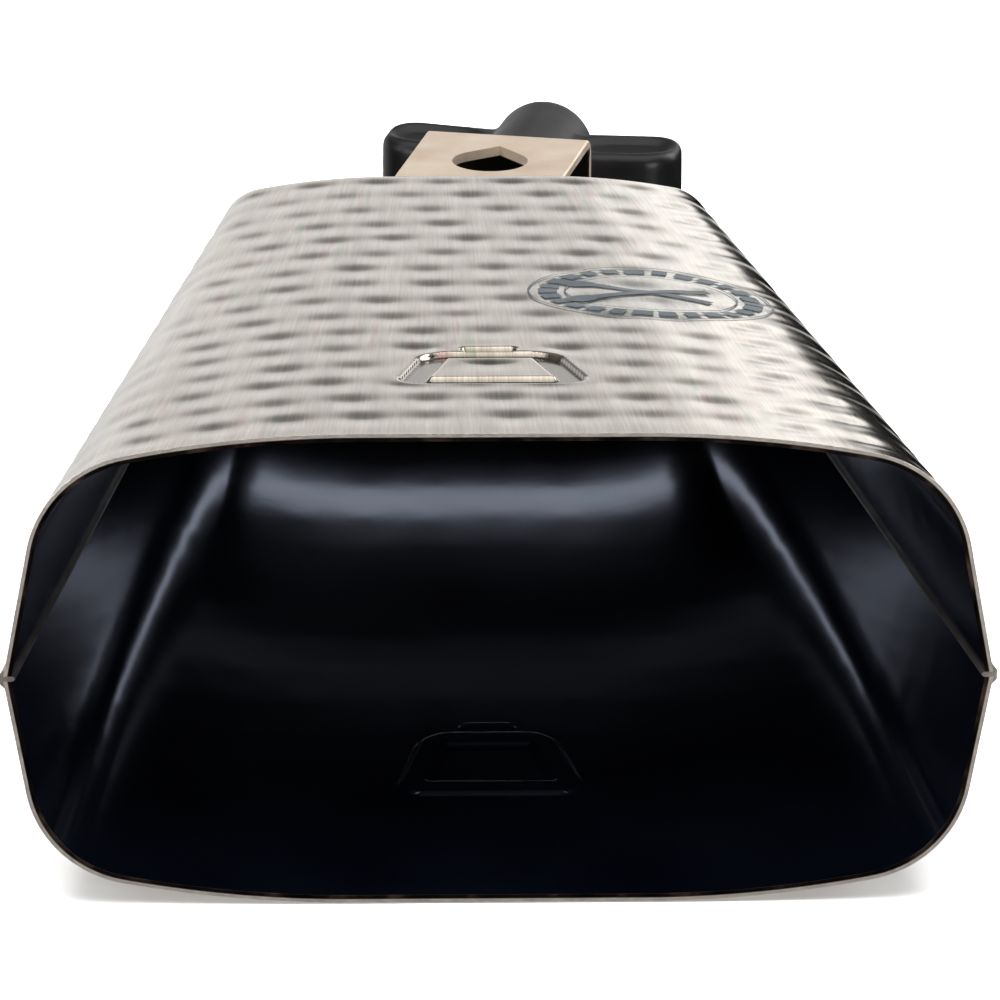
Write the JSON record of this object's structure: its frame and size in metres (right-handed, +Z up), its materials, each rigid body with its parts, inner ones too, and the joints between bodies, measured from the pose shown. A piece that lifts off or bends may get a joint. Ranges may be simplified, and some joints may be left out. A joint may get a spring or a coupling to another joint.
{
  "type": "cowbell",
  "caption": "Tapered sheet-metal cowbell, open at the mouth, with a strap clamp and wing nut at its closed end for fixing it to a percussion rod.",
  "frame": {"origin": "middle of the flat lower face, on the face that the bell rests on, 100 mm behind the mouth along the bell", "axes": "+Z up from the lower face; +Y from the mouth towards the closed end and its clamp; +X to the right seen from the mouth"},
  "size_m": [0.15, 0.2839, 0.0742],
  "materials": {
    "hammered_steel": "satin brushed, hand hammered outside, black lacquer inside",
    "weld_steel": "ground and brushed weld",
    "nickel_strap": "satin nickel plate",
    "zinc_hardware": "bright zinc plate",
    "black_oxide_steel": "chemically blackened steel",
    "black_nylon": "satin moulded nylon",
    "brass_insert": "turned brass",
    "clear_film": "clear printed film"
  },
  "bodies": {
    "bell": {"upper_shell": "hammered_steel", "lower_shell": "hammered_steel", "left_seam_weld": "weld_steel", "right_seam_weld": "weld_steel", "end_seam_weld": "weld_steel", "clamp_bracket": "nickel_strap", "upper_bracket_weld": "weld_steel", "lower_bracket_weld": "weld_steel", "clamp_washer": "zinc_hardware", "round_badge": "clear_film"},
    "wing_nut": {"wing_nut_body": "black_nylon", "wing_nut_insert": "brass_insert"},
    "eye_bolt": {"eye_bolt": "black_oxide_steel"}
  },
  "joints": [
    {"name": "wing_nut_turn", "type": "hinge", "parent": "bell", "child": "wing_nut", "pos_m": [0.00942, 0.15083, 0.01755], "axis": [-0.2215, -0.9719, 0.08], "range_deg": [0, 1440]},
    {"name": "eye_bolt_draw", "type": "slide", "parent": "bell", "child": "eye_bolt", "axis": [0.2215, 0.9719, -0.08], "range_m": [0, 0.005]}
  ],
  "couplings": [
    {"joint": "eye_bolt_draw", "follows": "wing_nut_turn", "m_per_rad": 0.00019894}
  ]
}
